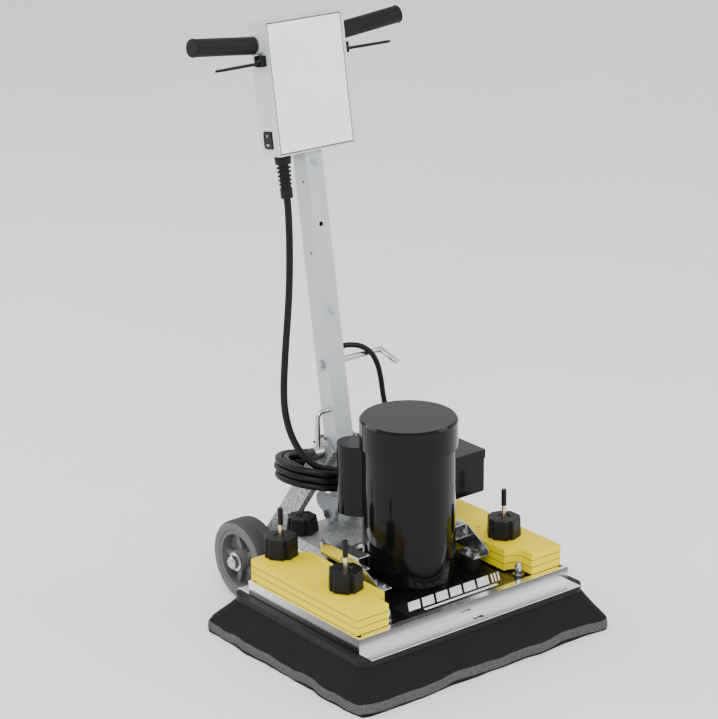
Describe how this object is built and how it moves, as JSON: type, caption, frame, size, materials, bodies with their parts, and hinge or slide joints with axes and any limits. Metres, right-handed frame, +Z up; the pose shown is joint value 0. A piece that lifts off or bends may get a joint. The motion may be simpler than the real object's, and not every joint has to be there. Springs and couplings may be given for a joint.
{
  "type": "concrete grinder",
  "caption": "Walk-behind rectangular orbital concrete grinder with a vertical motor, ballast plates, rubber skirt and wheeled handle.",
  "frame": {"origin": "on the floor under the motor shaft, at the middle of the abrasive plate", "axes": "+Z up, front of the machine towards -Y, +X to the right as seen from the front"},
  "size_m": [0.606, 0.648, 1.1545],
  "materials": {
    "gloss_black": "gloss",
    "motor_black": "gloss",
    "stainless": "polished",
    "skirt_foam": "matt",
    "rubber": "matt",
    "steel": "machined",
    "iron": "cast",
    "copper": "enamelled copper",
    "yellow": "satin",
    "zinc": "zinc plated",
    "vinyl": "soft",
    "galvanised": "galvanised",
    "chrome": "bright",
    "knob_black": "moulded",
    "white_box": "powder coat",
    "tube_grey": "powder coat",
    "grip_black": "grained",
    "cord_black": "matt",
    "plastic": "moulded",
    "tyre_grey": "matt",
    "rim_grey": "moulded",
    "abrasive": "grit"
  },
  "bodies": {
    "head": {"deck_plate": "gloss_black", "deck_rims": "stainless", "skirt_collar": "rubber", "skirt": "skirt_foam", "motor_barrel": "motor_black", "end_bells": "iron", "stator": "steel", "fan_cover": "motor_black", "motor_bearings": "steel", "terminal_box": "gloss_black", "terminal_lid": "gloss_black", "capacitor_cover": "gloss_black", "capacitor": "plastic", "ballast_left": "yellow", "ballast_right": "yellow", "ballast_studs": "zinc", "stud_caps": "vinyl", "chassis_member": "galvanised", "side_channels": "stainless", "foot_brackets": "chrome", "rubber_mounts": "rubber", "head_fasteners": "chrome"},
    "rotor": {"motor_shaft": "steel", "rotor_core": "steel", "cooling_fan": "plastic", "eccentric_hub": "iron"},
    "pad": {"drive_plate": "steel", "crank_bearing": "steel", "foam_pad": "skirt_foam", "abrasive_plate": "abrasive"},
    "handle": {"handle_tube": "tube_grey", "handle_foot": "tube_grey", "struts": "galvanised", "axle": "chrome", "clamp_bolt": "chrome", "control_box": "white_box", "box_panel": "white_box", "contactor": "plastic", "handlebars": "tube_grey", "grips": "grip_black", "lever_housings": "knob_black", "strain_relief": "cord_black", "mains_cord": "cord_black", "cord_coil": "cord_black", "mains_plug": "plastic", "motor_lead": "cord_black"},
    "wheel_left": {"tyre_left": "tyre_grey", "rim_left": "rim_grey"},
    "wheel_right": {"tyre_right": "tyre_grey", "rim_right": "rim_grey"},
    "lever_left": {"lever_left": "knob_black"},
    "lever_right": {"lever_right": "knob_black"},
    "rocker": {"rocker": "plastic"},
    "clamp_lever": {"clamp_lever": "chrome"},
    "cord_hook": {"cord_hook": "chrome"},
    "knob_front_left": {"knob_front_left": "knob_black"},
    "knob_front_right": {"knob_front_right": "knob_black"},
    "knob_rear_left": {"knob_rear_left": "knob_black"},
    "knob_rear_right": {"knob_rear_right": "knob_black"},
    "knob_chassis": {"knob_chassis": "knob_black"}
  },
  "joints": [
    {"name": "motor_spin", "type": "hinge", "parent": "head", "child": "rotor", "pos_m": [0, 0, 0.2], "axis": [0, 0, 1], "continuous": true},
    {"name": "pad_orbit", "type": "hinge", "parent": "rotor", "child": "pad", "pos_m": [0.0025, 0, 0.046], "axis": [0, 0, 1], "continuous": true},
    {"name": "handle_tilt", "type": "hinge", "parent": "head", "child": "handle", "pos_m": [0, 0.212, 0.185], "axis": [1, 0, 0], "range_deg": [-3, 12], "deforming": ["motor_lead"]},
    {"name": "wheel_left_spin", "type": "hinge", "parent": "handle", "child": "wheel_left", "pos_m": [-0.143, 0.331, 0.082], "axis": [1, 0, 0], "continuous": true},
    {"name": "wheel_right_spin", "type": "hinge", "parent": "handle", "child": "wheel_right", "pos_m": [0.143, 0.331, 0.082], "axis": [1, 0, 0], "continuous": true},
    {"name": "lever_left_squeeze", "type": "hinge", "parent": "handle", "child": "lever_left", "pos_m": [-0.093, 0.33167, 1.07757], "axis": [0, 0.9877, -0.1564], "range_deg": [0, 10], "stiffness_Nm_per_rad": 1.5, "springref_deg": -8.59},
    {"name": "lever_right_squeeze", "type": "hinge", "parent": "handle", "child": "lever_right", "pos_m": [0.104, 0.33167, 1.07757], "axis": [0, 0.9877, -0.1564], "range_deg": [-10, 0], "stiffness_Nm_per_rad": 1.5, "springref_deg": 8.59},
    {"name": "rocker_press", "type": "hinge", "parent": "handle", "child": "rocker", "pos_m": [-0.0815, 0.3082, 0.92941], "axis": [0, 0.9877, -0.1564], "range_deg": [-7, 7]},
    {"name": "clamp_swing", "type": "hinge", "parent": "handle", "child": "clamp_lever", "pos_m": [0, 0.211, 0.318], "axis": [1, 0, 0], "range_deg": [-85, 0]},
    {"name": "hook_swing", "type": "hinge", "parent": "handle", "child": "cord_hook", "pos_m": [0, 0.23797, 0.48594], "axis": [1, 0, 0], "range_deg": [0, 90]},
    {"name": "knob_front_left_turn", "type": "hinge", "parent": "head", "child": "knob_front_left", "pos_m": [-0.195, -0.052, 0.18], "axis": [0, 0, 1], "continuous": true},
    {"name": "knob_front_right_turn", "type": "hinge", "parent": "head", "child": "knob_front_right", "pos_m": [0.195, -0.052, 0.18], "axis": [0, 0, 1], "continuous": true},
    {"name": "knob_rear_left_turn", "type": "hinge", "parent": "head", "child": "knob_rear_left", "pos_m": [-0.195, 0.148, 0.18], "axis": [0, 0, 1], "continuous": true},
    {"name": "knob_rear_right_turn", "type": "hinge", "parent": "head", "child": "knob_rear_right", "pos_m": [0.195, 0.148, 0.18], "axis": [0, 0, 1], "continuous": true},
    {"name": "knob_chassis_turn", "type": "hinge", "parent": "head", "child": "knob_chassis", "pos_m": [-0.096, 0.212, 0.18], "axis": [0, 0, 1], "continuous": true}
  ],
  "couplings": [
    {"joint": "pad_orbit", "follows": "motor_spin", "ratio": -1}
  ]
}
